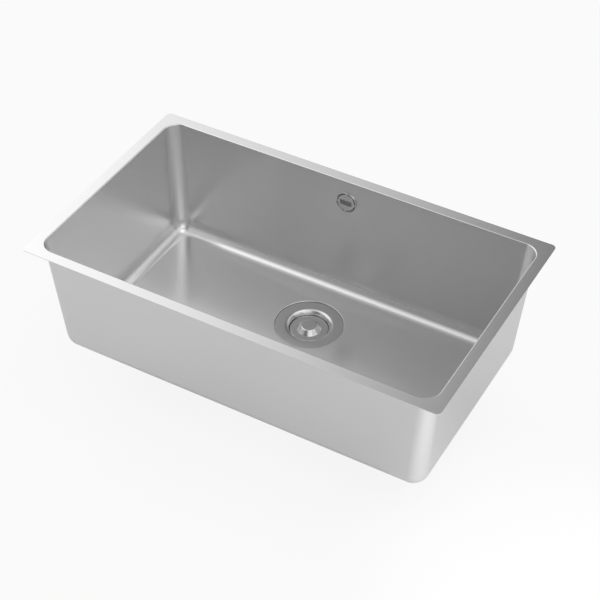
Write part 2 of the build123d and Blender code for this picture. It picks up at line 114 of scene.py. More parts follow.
# %% Bowl sizes
rim_length, rim_depth, rim_corner = 750 * mm, 440 * mm, 8 * mm
flange_width, sheet = 20 * mm, 1.2 * mm
bowl_height, wall_lean = 223 * mm, math.radians(4.0)
wall_corner, floor_round, bend_round = 26 * mm, 25 * mm, 2.4 * mm
waste_y, floor_fall, fall_margin, fall_corner = 69 * mm, 1.2 * mm, 29 * mm, 2 * mm
seat_radius, seat_depth, seat_round, seat_fall = 60.5 * mm, 3.5 * mm, 1 * mm, 0.1 * mm
hole_radius = 45 * mm
mouth_length, mouth_depth = rim_length - 2 * flange_width, rim_depth - 2 * flange_width
floor_low = -bowl_height - floor_fall
print("floor at", round(floor_low, 4))

# %% Outlines
corner_steps = 23
outline_points = 4 * (corner_steps + 1)
levels = []


def spot_of(point):
    """The place of a point, rounded so that it can be found again."""
    return tuple(round(c, 7) for c in point.co)


def keep_level():
    """Note where the selected points lie, as one level of the bowl."""
    form = bmesh.from_edit_mesh(bpy.context.object.data)
    levels.append({spot_of(point) for point in form.verts if point.select})


def rounded_outline(outset, height, corner):
    """One level of the bowl: a plane, outset from the mouth, with round corners and no face."""
    size = (mouth_length + 2 * outset, mouth_depth + 2 * outset, 1)
    bpy.ops.mesh.primitive_plane_add(size=1, location=(0, 0, height))
    bpy.ops.transform.resize(value=size)
    bpy.ops.mesh.bevel(offset=corner, segments=corner_steps, affect="VERTICES")
    keep_level()
    bpy.ops.mesh.delete(type="ONLY_FACE")


def round_outline(radius, height):
    """One level of the waste seat: a circle with as many points."""
    bpy.ops.mesh.primitive_circle_add(
        vertices=outline_points, radius=radius, location=(0, waste_y, height)
    )
    keep_level()


print("points in an outline", outline_points)

# %% Levels of the rim and the walls
bend_steps, fillet_steps = 6, 18
wall_turn = math.pi / 2 - wall_lean
deselect()
bpy.ops.mesh.primitive_plane_add(size=1)
bowl = bpy.context.object
bowl.name = "bowl_sheet"
edit()
bpy.ops.mesh.delete(type="VERT")
rounded_outline(flange_width, 0, rim_corner)
bend_reach = bend_round * math.tan(wall_turn / 2)
for step in range(bend_steps + 1):
    turn = wall_turn * step / bend_steps
    outset = bend_reach - bend_round * math.sin(turn)
    rounded_outline(outset, -bend_round * (1 - math.cos(turn)), wall_corner + outset)
round_z = -bowl_height + floor_round
round_outset = round_z * math.tan(wall_lean) - floor_round / math.cos(wall_lean)
for step in range(fillet_steps + 1):
    turn = wall_lean + wall_turn * step / fillet_steps
    outset = round_outset + floor_round * math.cos(turn)
    height = round_z - floor_round * math.sin(turn)
    rounded_outline(outset, height, wall_corner + outset - height * math.tan(wall_lean))
print("levels down to the floor", len(levels))

# %% Levels of the floor
seat_steps = 3
fall_outset = -bowl_height * math.tan(wall_lean) - fall_margin
rounded_outline(fall_outset, -bowl_height, fall_corner)
for step in range(seat_steps + 1):
    turn = math.pi / 2 * step / seat_steps
    lip = seat_radius + seat_round * (1 - math.sin(turn))
    round_outline(lip, floor_low - seat_round * (1 - math.cos(turn)))
round_outline(seat_radius, floor_low - seat_depth)
round_outline(hole_radius, floor_low - seat_depth - seat_fall)
print("all levels", len(levels), "points in each", sorted({len(level) for level in levels}))


# %% Bowl skin
def pick(test, mode="VERT"):
    """In edit mode, select the faces that pass a test, or the points and what lies between them."""
    bpy.ops.mesh.select_all(action="DESELECT")
    bpy.ops.mesh.select_mode(type=mode)
    form = bmesh.from_edit_mesh(bpy.context.object.data)
    for item in form.verts if mode == "VERT" else form.faces:
        item.select_set(test(item))
    if mode == "VERT":
        form.select_flush(True)
    bmesh.update_edit_mesh(bpy.context.object.data)


def face_outwards():
    """Turn every face of the mesh outwards."""
    select_mesh()
    bpy.ops.mesh.normals_make_consistent(inside=False)


def face_up(piece):
    """Turn an open skin so that its highest level face looks up."""
    faces = piece.data.polygons
    top = max(faces, key=lambda face: (round(face.center.z, 5), abs(face.normal.z)))
    if top.normal.z < 0:
        edit()
        select_mesh()
        bpy.ops.mesh.flip_normals()
        leave()


for upper, lower in zip(levels, levels[1:]):
    both = upper | lower
    pick(lambda point: spot_of(point) in both)
    bpy.ops.mesh.bridge_edge_loops()
face_outwards()
bowl = leave()
face_up(bowl)
print("skin faces", len(bowl.data.polygons))

# %% [markdown]
# The skin gets the thickness of the sheet on its outer side, and a very short bevel takes the
# sharpness off the cut edges, so that they catch the light. The overflow hole is punched last, as a
# boolean, because its round edge doesn't follow the rows of faces.

# %% Bowl sheet
def modify(piece, kind, **settings):
    """Add one modifier, set it and apply it."""
    bpy.context.view_layer.objects.active = piece
    modifier = piece.modifiers.new(kind.lower(), kind)
    for key, value in settings.items():
        setattr(modifier, key, value)
    bpy.ops.object.modifier_apply(modifier=modifier.name)


def thicken(piece, thickness):
    """Give a skin the thickness of its sheet, behind its faces."""
    modify(piece, "SOLIDIFY", thickness=thickness, offset=-1, use_even_offset=True)


def break_edges(piece, width, steps=2):
    """A short bevel, in millimetres, on every sharp edge."""
    modify(piece, "BEVEL", width=width * mm, segments=steps, limit_method="ANGLE",
           angle_limit=math.radians(50))


thicken(bowl, sheet)
break_edges(bowl, width=0.25)
print("sheet faces", len(bowl.data.polygons))

# %% Overflow hole
cover_drop, cover_hole = 41.5 * mm, 18.4 * mm
cover_y = rim_depth / 2 - flange_width - cover_drop * math.tan(wall_lean)
cover_place = Vector((0, cover_y, -cover_drop))
cover_turn = (wall_turn, 0, 0)
turn_steps = 96
pieces = []


def combine(piece, other, operation):
    """Make one solid of two by a boolean, and throw the second away."""
    modify(piece, "BOOLEAN", object=other, operation=operation, solver="EXACT")
    bpy.data.objects.remove(other)


def cut(piece, punch):
    """Cut a piece with a punch."""
    combine(piece, punch, "DIFFERENCE")


def smooth(piece, angle=35.0):
    """Shade smoothly, keep edges sharper than an angle, and let large faces rule the normals."""
    take(piece)
    bpy.ops.object.shade_smooth_by_angle(angle=math.radians(angle))
    modify(piece, "WEIGHTED_NORMAL", keep_sharp=True, weight=80)


def belongs(piece, body, node, slot):
    """The piece moves with a body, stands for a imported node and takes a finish."""
    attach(piece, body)
    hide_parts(node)
    pieces.append((piece, slot))
    print(piece.name, "faces", len(piece.data.polygons), "on", body)


deselect()
bpy.ops.mesh.primitive_cylinder_add(
    vertices=turn_steps, radius=cover_hole, depth=20 * mm,
    location=cover_place, rotation=cover_turn,
)
cut(bowl, bpy.context.object)
smooth(bowl, angle=40)
belongs(bowl, "sink", "bowl", "bowl_steel")

# %% [markdown]
# ## Waste
# The cup, the lid and the knob are spun or turned parts, so each is one profile line spun round the
# waste's axis. A profile starts as a plane merged to a single point, and grows by extruding that
# point. Profiles are written in millimetres: a radius, and a height from the top of the cup's flange.

# %% Turning
def arc(middle, radius, start, end, steps):
    """Points of a rounded corner in a profile, from one angle to another in degrees."""
    turns = [math.radians(start + (end - start) * step / steps) for step in range(steps + 1)]
    return [(middle[0] + radius * math.cos(t), middle[1] + radius * math.sin(t)) for t in turns]


def draw_out(move):
    """Extrude what is selected by a move."""
    bpy.ops.mesh.extrude_region_move(TRANSFORM_OT_translate={"value": move})


def draw_line(name, points):
    """Draw a line from point to point, and stay in edit mode with all of it selected."""
    deselect()
    bpy.ops.mesh.primitive_plane_add(size=mm, location=points[0])
    bpy.context.object.name = name
    bpy.ops.object.transform_apply(location=True)
    edit()
    bpy.ops.mesh.merge(type="CENTER")
    for before, after in zip(points, points[1:]):
        draw_out(after - before)
    select_mesh()


def close_seams():
    """Merge the doubled points that a spin leaves, and turn the faces outwards."""
    select_mesh()
    bpy.ops.mesh.remove_doubles(threshold=0.002 * mm)
    face_outwards()


def turned(name, profile, place, steps=turn_steps):
    """Spin a profile round an upright axis."""
    draw_line(name, [Vector((place[0] + r * mm, place[1], place[2] + h * mm)) for r, h in profile])
    bpy.ops.mesh.spin(steps=steps, angle=2 * math.pi, center=place, axis=(0, 0, 1))
    close_seams()
    print(name, "turned from", len(profile), "points")
    return leave()


print("steps in a full turn", turn_steps)

# %% [markdown]
# ### Strainer cup
# The cup is a pressing whose flange lies in the seat of the bowl's floor. A wide round lip leads down
# to a ledge, on which the basket hangs. Its floor is a grate: the faces between four bars are taken
# out of the skin before it gets its thickness, so the openings get clean walls.

# %% Cup skin
flange_sink = 1.5 * mm
waste_place = Vector((0, waste_y, floor_low - flange_sink))
flange_edge, flange_inner, cup_inside, cup_lip = 59.8, 50, 34.5, 8.5
cup_ledge, ledge_drop, cup_deep, foot_round = 32, 14, 56, 1.5
grate_outer, grate_inner, screw_hole = 20, 9, 3.2
cup_profile = [(flange_edge, 0), (flange_inner, 0)]
cup_profile += arc((cup_inside + cup_lip, -cup_lip), cup_lip, 90, 180, 12)
cup_profile += [(cup_inside, -ledge_drop), (cup_ledge, -ledge_drop)]
cup_profile += arc((cup_ledge - foot_round, foot_round - cup_deep), foot_round, 0, -90, 4)
cup_profile += [(radius, -cup_deep) for radius in (grate_outer, grate_inner, screw_hole)]
cup = turned("cup_pressing", cup_profile, waste_place)
face_up(cup)

# %% Grate in the cup's floor
bar_half, level_slack = 10, 0.1


def in_grate(face):
    """Faces of the cup's floor that four bars leave open."""
    middle = face.calc_center_median()
    reach = Vector((middle.x, middle.y - waste_y))
    turn = math.degrees(math.atan2(reach.y, reach.x)) % 90
    low = middle.z < waste_place.z - (cup_deep - level_slack) * mm
    within = grate_inner * mm < reach.length < grate_outer * mm
    return low and within and bar_half < turn < 90 - bar_half


def soften(piece, width):
    """A short bevel, in millimetres, on every sharp edge, then smooth shading."""
    break_edges(piece, width)
    smooth(piece)


edit()
pick(in_grate, "FACE")
bpy.ops.mesh.delete(type="FACE")
cup = leave()
thicken(cup, thickness=1 * mm)
soften(cup, width=0.25)
belongs(cup, "sink", "strainer_cup", "waste_steel")

# %% [markdown]
# ### Lid and knob
# The lid is a shallow pressing with a short skirt, just smaller than the cup. The knob that lifts it
# is turned from solid bar, with a leaning flank and a rounded shoulder. The flank is what shines in
# the photograph, so the shoulder's arc is made to run into it without a kink.

# %% Plug lid
lid_gap, lid_drop, lid_round, lid_skirt = 0.8, 8, 1.2, 3.5
lid_edge, lid_rings = cup_inside - lid_gap, (3.2, 18, 28)
lid_profile = [(radius, -lid_drop) for radius in lid_rings]
lid_profile += arc((lid_edge - lid_round, -lid_drop - lid_round), lid_round, 90, 0, 6)
lid_profile += [(lid_edge, -lid_drop - lid_skirt)]
lid = turned("lid_pressing", lid_profile, waste_place)
face_up(lid)
thicken(lid, thickness=1 * mm)
soften(lid, width=0.2)
belongs(lid, "plug", "plug_lid", "waste_steel")

# %% Knob
knob_foot, knob_head, knob_top, knob_round = 21.5, 13.5, -0.6, 3
knob_ring, stem_radius = 6, 3
flank = math.atan2(knob_top + lid_drop, knob_foot - knob_head)
knob_flat = knob_head - knob_round * math.tan(flank / 2)
shoulder_end = 90 - math.degrees(flank)
knob_profile = [(0, knob_top), (knob_ring, knob_top)]
knob_profile += arc((knob_flat, knob_top - knob_round), knob_round, 90, shoulder_end, 8)
knob_profile += [(knob_foot, -lid_drop), (stem_radius, -lid_drop), (0, -lid_drop)]
knob = turned("knob_turning", knob_profile, waste_place)
smooth(knob)
belongs(knob, "plug", "knob", "waste_steel")

# %% [markdown]
# ## Basket
# Under the lid hangs a basket, drawn from thin sheet and punched. Its skin is turned as one line and
# thickened. The holes of its floor are cut at once, by one punch made of copies of a single pin, and
# the slots of its wall by copies of one block, each turned on round the axis. This is done at the
# origin, where the numbers are simple, and the basket is then set down.

# %% Basket skin
origin = Vector((0, 0, 0))
basket_edge, basket_hang, basket_wall, basket_low = 33.8, 13.2, 30.5, 38.2
basket_bend, basket_round, basket_ring, guide_hole = 0.8, 2.2, 16, 5
bend_middle = (basket_wall + basket_bend, -basket_hang - basket_bend)
round_middle = (basket_wall - basket_round, basket_round - basket_low)
basket_profile = [(basket_edge, -basket_hang), (basket_wall + basket_bend, -basket_hang)]
basket_profile += arc(bend_middle, basket_bend, 90, 180, 4)
basket_profile += arc(round_middle, basket_round, 0, -90, 6)
basket_profile += [(basket_ring, -basket_low), (guide_hole, -basket_low)]
basket = turned("basket_pressing", basket_profile, origin, steps=72)
face_up(basket)
thicken(basket, thickness=0.8 * mm)

# %% Basket holes
floor_rings, pin_steps = ((10, 13.5), (14, 19.5), (18, 25.5)), 20


def copy_of(piece, name):
    """A copy with its own mesh."""
    take(piece)
    bpy.ops.object.duplicate(linked=False)
    bpy.context.object.name = name
    return bpy.context.object


def ring_places(count, ring):
    """Places spread evenly round a ring."""
    turns = [2 * math.pi * step / count for step in range(count)]
    return [(ring * math.cos(turn), ring * math.sin(turn)) for turn in turns]


def pins(name, places, radius, low, high):
    """One punch for many holes: a pin copied to every place, in millimetres."""
    middle = (low + high) / 2 * mm
    deselect()
    bpy.ops.mesh.primitive_cylinder_add(
        vertices=pin_steps, radius=radius * mm, depth=(high - low) * mm, location=(0, 0, middle)
    )
    pin = bpy.context.object
    copies = [copy_of(pin, name) for _ in places]
    bpy.data.objects.remove(pin)
    for copy, (x, y) in zip(copies, places):
        copy.location = (x * mm, y * mm, middle)
        copy.select_set(True)
    bpy.ops.object.join()
    bpy.ops.object.transform_apply(location=True)
    return bpy.context.object


holes = [place for count, ring in floor_rings for place in ring_places(count, ring)]
cut(basket, pins("floor_punch", holes, radius=2.4, low=-42, high=-37))
print("holes in the basket's floor", len(holes))

# %% Basket slots
slot_count, slot_z, slot_corner = 9, -26.5, 0.6


def cut_round(piece, punch, count, turn):
    """Cut a piece with copies of a punch, each turned on round the upright axis."""
    for step in range(count):
        copy = copy_of(punch, "turned_punch")
        copy.rotation_euler.z = turn * step
        cut(piece, copy)
    bpy.data.objects.remove(punch)


def set_down(piece, place, turn=(0, 0, 0)):
    """Turn and carry a piece that was made at the origin, and leave its own origin there."""
    take(piece)
    piece.location, piece.rotation_euler = place, turn
    bpy.ops.object.transform_apply(location=True, rotation=True)


deselect()
bpy.ops.mesh.primitive_cube_add(size=mm, location=(0, 0, slot_z * mm), scale=(80, 4, 12))
edit()
select_mesh()
bpy.ops.mesh.bevel(offset=slot_corner * mm, segments=3)
cut_round(basket, leave(), slot_count, math.pi / slot_count)
soften(basket, width=0.12)
set_down(basket, waste_place)
belongs(basket, "basket", "basket", "waste_steel")

# %% [markdown]
# ## Stem, guide and stopper
# The knob lifts the stopper by a stem that slides in a plastic bush. These are plain turned parts, so
# a short bevel on every edge is what makes them look moulded or machined. The stopper is a steel disc
# in the groove of a rubber ring, and the two profiles share the groove's sizes.

# %% Stem and guide
thin_steps = 48


def stepped(*sizes):
    """A profile in square steps, from a radius and a height in turn."""
    pairs = enumerate(zip(sizes, sizes[1:]))
    return [pair[::-1] if step % 2 else pair for step, pair in pairs]


def turned_part(name, profile, bevel, body, node, slot, steps=turn_steps):
    """A closed profile turned round the waste's axis, with softened edges."""
    piece = turned(name, profile, waste_place, steps)
    soften(piece, bevel)
    belongs(piece, body, node, slot)


stem_top, stem_low, collar_radius, collar_high = -3.5, -53.4, 5, 1.4
stem_sizes = [0, stem_top, stem_radius]
for collar in (-9, -47.6):
    stem_sizes += [collar, collar_radius, collar - collar_high, stem_radius]
stem_profile = stepped(*stem_sizes, stem_low, 0)
turned_part("stem_rod", stem_profile, 0.25, "plug", "stem", "fastener_steel", thin_steps)

bush_bore, bush_radius, bush_flange = 3.05, 6.4, 8
bush_low, bush_step, bush_top = -39.4, -36.5, -29.5
guide_profile = stepped(bush_bore, bush_low, guide_hole, -basket_low, bush_flange, bush_step,
                        bush_radius, bush_top, bush_bore, bush_low)
turned_part("guide_bush", guide_profile, 0.3, "basket", "stem_guide", "guide_plastic", thin_steps)

# %% Stopper
seal_inner, seal_outer, seal_top, seal_low, web_low = 19.3, 25.5, -48, -56, -52.4
disc_bore, disc_edge, disc_top, disc_low = 3.2, 22.3, -49, -51
seal_profile = stepped(seal_inner, seal_top, seal_outer, seal_low, disc_edge, web_low, seal_inner,
                       disc_low, disc_edge, disc_top, seal_inner, seal_top)
turned_part("stopper_rubber", seal_profile, 0.5, "plug", "stopper_seal", "seal_rubber")
disc_profile = stepped(disc_bore, disc_top, disc_edge, disc_low, disc_bore, disc_top)
turned_part("stopper_disc", disc_profile, 0.2, "plug", "stopper_plate", "waste_steel")

# %% [markdown]
# ## Waste body
# The pot under the cup is one moulding: a flange, a pot, an outlet with a pipe thread and a stub for
# the overflow's pipe. The pot is turned. The stub and its bore are turned upright, laid back, and
# then joined to the pot or cut from it.

# %% Pot
pot_inner, pot_outer, pot_flange, pot_hole = 41, 44.5, 54, 18.5
pot_top, pot_step, pot_floor, pot_low = -5.7, -9.1, -62, -65.5
pot_round, inner_round = 5, 3.25
outlet_bore, outlet_core, outlet_crest, outlet_low = 20, 22.4, 23.9, -90.5
outlet_cone = outlet_crest - outlet_core
pot_profile = stepped(pot_inner, pot_top, pot_flange, pot_step, pot_outer)
pot_profile += arc((pot_outer - pot_round, pot_low + pot_round), pot_round, 0, -90, 8)
pot_profile += [(outlet_crest, pot_low), (outlet_core, pot_low - outlet_cone)]
pot_profile += stepped(outlet_core, outlet_low, outlet_bore, pot_low, pot_hole, pot_floor)
pot_profile += arc((pot_inner - inner_round, pot_floor + inner_round), inner_round, -90, 0, 6)
pot_profile += [(pot_inner, pot_top)]
pot = turned("waste_pot", pot_profile, origin)

# %% Stub for the pipe
lying_back = (math.pi / 2, 0, 0)
inlet_drop, inlet_end, stub_start = 42, 62.5, 42.7
stub_radius, water_way, pocket_radius, pocket_deep = 11.1, 6.7, 8.1, 12
bore_start, bore_end = 36, 70
stub_place = Vector((0, 0, -inlet_drop * mm))
stub = turned("stub", stepped(0, -stub_start, stub_radius, -inlet_end, 0), origin, thin_steps)
set_down(stub, stub_place, lying_back)
combine(pot, stub, "UNION")
pocket_floor = pocket_deep - inlet_end
bore_profile = stepped(0, -bore_start, water_way, pocket_floor, pocket_radius, -bore_end, 0)
bore = turned("bore", bore_profile, origin, thin_steps)
set_down(bore, stub_place, lying_back)
cut(pot, bore)
soften(pot, width=0.3)

# %% [markdown]
# ### Outlet thread
# A trap's nut screws on to the outlet. A bump could draw the ridges, but the outline would stay
# straight, so one tooth is drawn as a small face and carried round the outlet by a Screw modifier,
# rising by one pitch each turn. Its root lies a little inside the wall.

# %% Outlet thread
thread_pitch, thread_turns, thread_steps = 2.309, 9, 64
tooth_root, tooth_low, tooth_flank, tooth_flat = 22.2, -89.8, 0.85, 0.35
tooth_high = tooth_low + 2 * tooth_flank + tooth_flat
tooth = [(tooth_root, tooth_low), (outlet_crest, tooth_low + tooth_flank),
         (outlet_crest, tooth_high - tooth_flank), (tooth_root, tooth_high)]
draw_line("thread", [Vector((r * mm, 0, h * mm)) for r, h in tooth])
bpy.ops.mesh.edge_face_add()
thread = leave()
modify(thread, "SCREW", axis="Z", screw_offset=thread_pitch * mm, iterations=thread_turns,
       steps=thread_steps, render_steps=thread_steps)
edit()
close_seams()
bpy.ops.mesh.fill_holes(sides=len(tooth))
face_outwards()
leave()
smooth(thread, angle=30)
take(pot)
thread.select_set(True)
bpy.ops.object.join()
set_down(pot, waste_place)
belongs(pot, "sink", "waste_body", "moulding")

# %% Rubber ring under the bowl
washer_inner, washer_top = 46, -3.2
washer_profile = stepped(washer_inner, washer_top, pot_flange, pot_top, washer_inner, washer_top)
turned_part("body_ring", washer_profile, 0.4, "sink", "body_gasket", "seal_rubber")

# %% [markdown]
# ## Overflow cover
# A round pressed cover with four slots near its edge and a sunk field in the middle, which holds a
# small dark plate. It is turned lying flat, cut with booleans, and only then tipped up against the
# leaning back wall. The mouths of the slots flare, because a press leaves their edges round.

# %% Cover blank
cover_radius, cover_high, cover_round, cover_ring = 20, 2.6, 1.2, 10
edge_middle = (cover_radius - cover_round, cover_high - cover_round)
cover_profile = [(0, cover_high), (cover_ring, cover_high)]
cover_profile += arc(edge_middle, cover_round, 90, 0, 5)
cover_profile += [(cover_radius, 0), (0, 0)]
cover = turned("cover_pressing", cover_profile, origin)

# %% Cover slots
slot_inner, slot_outer, slot_round, slot_steps = 16.1, 17.3, 1.4, 24
bar_width, slot_middle, slots = 4, 16.7, 4
punch_low, punch_high = -1, 4
bar_turn, quarter = bar_width / slot_middle, 2 * math.pi / slots
flare_z = cover_high - slot_round
slot_outline = [(slot_inner, punch_low), (slot_outer, punch_low)]
slot_outline += arc((slot_outer + slot_round, flare_z), slot_round, 180, 90, 5)
slot_outline += [(slot_outer + slot_round, punch_high), (slot_inner - slot_round, punch_high)]
slot_outline += arc((slot_inner - slot_round, flare_z), slot_round, 90, 0, 5)
slot_aim = Vector((math.cos(bar_turn / 2), math.sin(bar_turn / 2), 0))
draw_line("slot_punch", [slot_aim * r * mm + Vector((0, 0, h * mm)) for r, h in slot_outline])
bpy.ops.mesh.edge_face_add()
bpy.ops.mesh.spin(steps=slot_steps, angle=bar_turn - quarter, center=origin, axis=(0, 0, 1))
close_seams()
cut_round(cover, leave(), slots, quarter)
print("slots in the cover", slots)

# %% Field and plate
field_length, field_width, field_floor, field_corner, plate_gap = 22, 9, 1.8, 1, 0.1


def rounded_block(name, length, width, low, high, corner):
    """A low block with rounded upright corners, in millimetres."""
    deselect()
    bpy.ops.mesh.primitive_plane_add(size=mm, location=(0, 0, low * mm))
    bpy.context.object.name = name
    bpy.ops.object.transform_apply(location=True)
    edit()
    bpy.ops.transform.resize(value=(length, width, 1))
    bpy.ops.mesh.bevel(offset=corner * mm, segments=6, affect="VERTICES")
    select_mesh()
    draw_out((0, 0, (high - low) * mm))
    face_outwards()
    return leave()


def tip_up(piece):
    """Stand a piece that was made lying flat against the back wall."""
    set_down(piece, cover_place, cover_turn)


cut(cover, rounded_block("field_punch", field_length, field_width, field_floor, punch_high,
                         field_corner))
plate_size = (field_length - 2 * plate_gap, field_width - 2 * plate_gap, field_floor, cover_high,
              field_corner - plate_gap)
plate = rounded_block("middle_plate", *plate_size)
for piece, width, node, slot in ((cover, 0.12, "overflow_rosette", "waste_steel"),
                                 (plate, 0.15, "overflow_plate", "blank_plate")):
    break_edges(piece, width)
    tip_up(piece)
    smooth(piece)
    belongs(piece, "sink", node, slot)

# %% [markdown]
# ## Overflow behind the wall
# Behind the cover sits a moulded elbow with a rubber ring. It is a shallow pot with a post for the
# screw, turned lying flat and tipped up like the cover. A socket for the pipe is then joined to it,
# and the socket's bore is cut through to the inside.

# %% Elbow
post_radius, elbow_inside, elbow_wall, elbow_flange = 7.5, 19.4, 2.5, 24
elbow_front, flange_back, elbow_floor, elbow_round = -3.7, -6.7, -27.2, 3
elbow_outside, elbow_back = elbow_inside + elbow_wall, elbow_floor - elbow_wall
elbow_profile = stepped(0, elbow_front, post_radius, elbow_floor, elbow_inside, elbow_front,
                        elbow_flange, flange_back, elbow_outside)
elbow_profile += arc((elbow_outside - elbow_round, elbow_back + elbow_round), elbow_round, 0, -90, 6)
elbow_profile += [(0, elbow_back)]
elbow = turned("overflow_elbow", elbow_profile, origin)
tip_up(elbow)

# %% Socket of the elbow
pipe_y = cover_place.y + 16.7 * mm
socket_low, socket_high, socket_bore = cover_place.z - 39.9 * mm, 30, 32
socket_place = Vector((0, pipe_y, socket_low))
socket_profile = stepped(0, 0, stub_radius, socket_high, 0)
combine(elbow, turned("socket", socket_profile, socket_place, thin_steps), "UNION")
bore_profile = stepped(0, punch_low, pocket_radius, pocket_deep, water_way, socket_bore, 0)
cut(elbow, turned("bore", bore_profile, socket_place, thin_steps))
soften(elbow, width=0.3)
belongs(elbow, "sink", "overflow_head", "moulding")

# %% Rubber ring of the elbow
wall_back = -sheet / mm
rubber_profile = stepped(elbow_inside, wall_back, elbow_flange, elbow_front, elbow_inside, wall_back)
rubber = turned("overflow_ring", rubber_profile, origin)
tip_up(rubber)
soften(rubber, width=0.4)
belongs(rubber, "sink", "overflow_gasket", "seal_rubber")

# %% [markdown]
# ## Pipe and nuts
# A rigid pipe runs from the elbow's socket down to the stub of the waste body. It could be a curve
# with a round section, but three moves of one circle do it too: drawn out straight, spun through a
# quarter turn and drawn out again. Two fluted nuts hold it. One is made, and the second is its copy.

# %% Pipe
pipe_radius, pipe_wall, pipe_bend, bend_rows = 8 * mm, 1.3 * mm, 24 * mm, 16
inlet_z = waste_place.z - inlet_drop * mm
pipe_start = waste_y + (inlet_end - pocket_deep) * mm
bend_y = pipe_y - pipe_bend
deselect()
bpy.ops.mesh.primitive_circle_add(
    vertices=thin_steps, radius=pipe_radius, location=(0, pipe_start, inlet_z), rotation=lying_back
)
pipe = bpy.context.object
pipe.name = "overflow_tube"
bpy.ops.object.transform_apply(location=True, rotation=True)
edit()
select_mesh()
draw_out((0, bend_y - pipe_start, 0))
bend_middle = (0, bend_y, inlet_z + pipe_bend)
bpy.ops.mesh.spin(steps=bend_rows, angle=-math.pi / 2, center=bend_middle, axis=(1, 0, 0))
leave()
bend_end = max(point.co.z for point in pipe.data.vertices)
edit()
pick(lambda point: abs(point.co.z - bend_end) < 0.01 * mm)
draw_out((0, 0, socket_low + pocket_deep * mm - bend_end))
close_seams()
pipe = leave()
thicken(pipe, pipe_wall)
soften(pipe, width=0.2)
belongs(pipe, "sink", "overflow_pipe", "moulding")

# %% Pipe nuts
nut_inside, nut_outside, nut_top, nut_seat, nut_low = 11.2, 13.6, 11, -3, -5.4
nut_profile = stepped(nut_inside, nut_top, nut_outside, nut_low, pocket_radius, nut_seat,
                      nut_inside, nut_top)
nut = turned("nut_upper", nut_profile, origin)
cut(nut, pins("flute_punch", ring_places(12, ring=14.2), radius=1.2, low=-8, high=14))
soften(nut, width=0.3)
second_nut = copy_of(nut, "nut_lower")
set_down(second_nut, Vector((0, waste_y + inlet_end * mm, inlet_z)), lying_back)
set_down(nut, socket_place)
belongs(nut, "sink", "pipe_nut_upper", "moulding")
belongs(second_nut, "sink", "pipe_nut_lower", "moulding")

# %% [markdown]
# ## Deadening pads
# Two rubber pads are glued under the floor, so that it doesn't ring, cut from a sheet rolled with
# lozenges. A bump would draw these, but from below the pads are the largest thing in sight, so the
# valleys are cut by a comb of round bars, slanting one way and then the other. The second comb's bars
# are a little thinner, because a boolean fails where two cuts meet in exactly the same line. The bowl
# itself cuts the top, which then follows the fall of the floor.

# %% Comb for the valleys
pad_thick, comb_drop = 3 * mm, 0.17 * mm
pad_low = floor_low - sheet - pad_thick
comb_pitch, comb_bars, bar_length, bar_steps = 12 * mm, 28, 420 * mm, 12


def comb(slant, bar_radius):
    """Round bars side by side at the pads' underside, turned by an angle in degrees."""
    deselect()
    bpy.ops.mesh.primitive_cylinder_add(
        vertices=bar_steps, radius=bar_radius, depth=bar_length, rotation=(0, math.pi / 2, 0),
        location=(0, -comb_pitch * (comb_bars - 1) / 2, pad_low - comb_drop),
    )
    bars = bpy.context.object
    bpy.ops.object.transform_apply(location=True, rotation=True)
    modify(bars, "ARRAY", count=comb_bars, use_relative_offset=False,
           use_constant_offset=True, constant_offset_displace=(0, comb_pitch, 0))
    bars.rotation_euler.z = math.radians(slant)
    return bars


print("comb of", comb_bars, "bars")

# %% Pads
pad_length, pad_width, pad_corner, pad_margin = 190, 260, 10, 30
pad_top = -bowl_height - sheet
pad_size = (pad_length, pad_width, pad_low / mm, pad_top / mm, pad_corner)
left_pad = rounded_block("pad_left", *pad_size)
break_edges(left_pad, width=0.8, steps=3)
for slant, bar_radius in ((45, 1.1), (-45, 0.93)):
    cut(left_pad, comb(slant, bar_radius * mm))
right_pad = copy_of(left_pad, "pad_right")
floor_half = rim_length / 2 - flange_width - bowl_height * math.tan(wall_lean)
pad_x = floor_half - (pad_margin + pad_length / 2) * mm
for pad, side, node in ((left_pad, -1, "sound_pad_left"), (right_pad, 1, "sound_pad_right")):
    set_down(pad, Vector((side * pad_x, 0, 0)))
    cut(pad, copy_of(bowl, "floor_punch"))
    smooth(pad)
    belongs(pad, "sink", node, "pad_rubber")

# %% [markdown]
# ## Nodes by hand, in code
# A finish is a small machine of nodes. These helpers keep the cells short: they place a node and fill
# or link its sockets, and open or use a group, which holds an effect that more than one finish needs.

# %% Node helpers
def put(tree, kind, sockets=None, **settings):
    """Place one node; a socket takes a value, or a link from another node's output."""
    node = tree.nodes.new("ShaderNode" + kind)
    for key, value in settings.items():
        setattr(node, key, value)
    for key, value in (sockets or {}).items():
        if isinstance(value, bpy.types.NodeSocket):
            tree.links.new(value, node.inputs[key])
        else:
            node.inputs[key].default_value = value
    return node


def math_of(tree, operation, *values):
    """The result of one Math node."""
    return put(tree, "Math", dict(enumerate(values)), operation=operation).outputs[0]


def parts_of(tree, vector):
    """The X, Y and Z of a vector."""
    return put(tree, "SeparateXYZ", {0: vector}).outputs


def between(tree, mask, low, high, start=0.0, end=1.0):
    """A value that goes from low to high as a mask goes from start to end."""
    sockets = {"Value": mask, "From Min": start, "From Max": end, "To Min": low, "To Max": high}
    return put(tree, "MapRange", sockets).outputs["Result"]


def noise_of(tree, grid, detail, roughness, scale=1.0):
    """A noise of 0 to 1 on a grid."""
    sockets = {"Vector": grid, "Scale": scale, "Detail": detail, "Roughness": roughness}
    return put(tree, "TexNoise", sockets).outputs[0]


